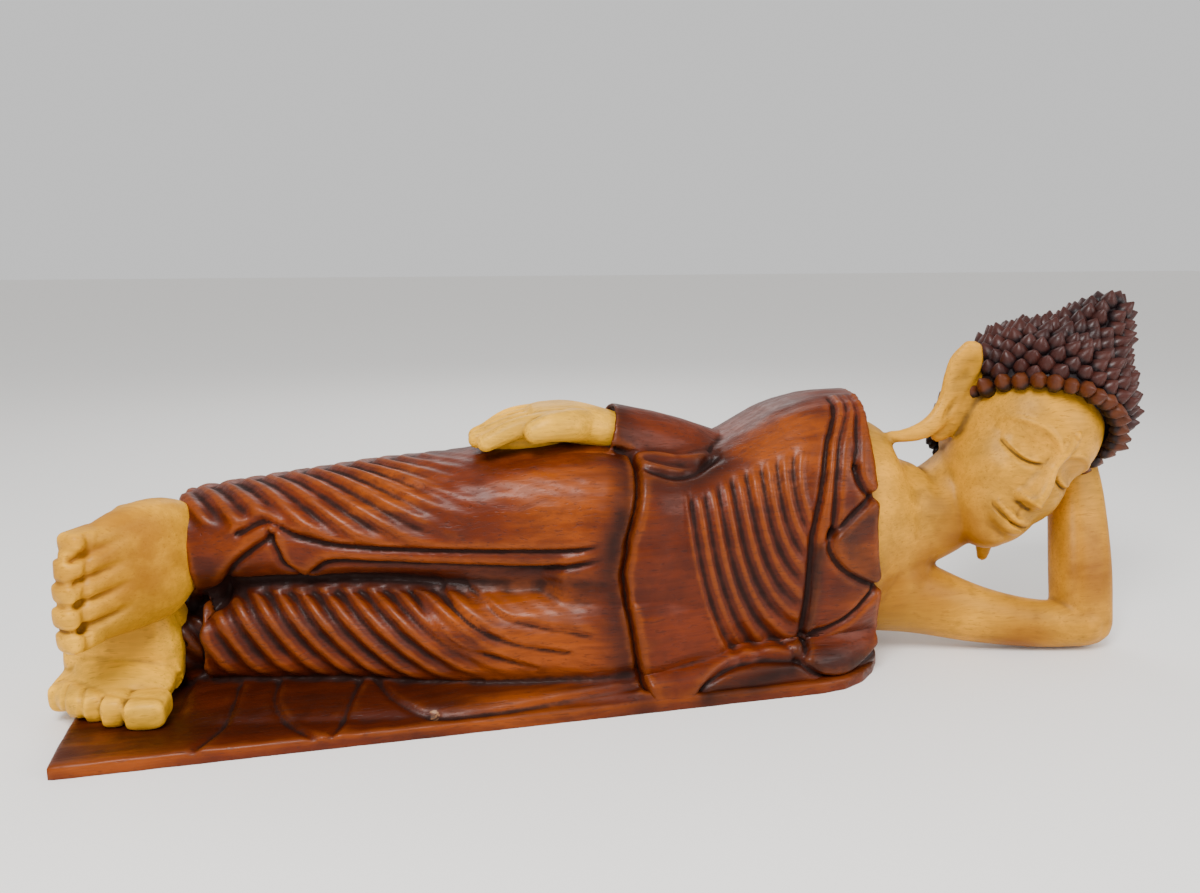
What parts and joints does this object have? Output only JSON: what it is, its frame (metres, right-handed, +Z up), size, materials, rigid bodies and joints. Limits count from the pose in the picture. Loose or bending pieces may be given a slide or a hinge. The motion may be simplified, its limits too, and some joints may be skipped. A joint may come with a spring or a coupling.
{
  "type": "reclining buddha statue",
  "caption": "Carved wooden reclining Buddha in a pleated robe on a thin board, head propped on one hand, hair in pointed curls.",
  "frame": {"origin": "on the flat underside, below the figure's hips, 265 mm from the board's foot end and 63 mm behind its front edge", "axes": "+X along the figure from feet to head, -Y out of the figure's front, +Z up"},
  "size_m": [0.5463, 0.1151, 0.1901],
  "materials": {
    "wood": "hand-carved and waxed: red-brown stained robe and board, bare golden skin, near-black stained hair"
  },
  "bodies": {
    "root": {"reclining_buddha": "wood"}
  },
  "joints": []
}
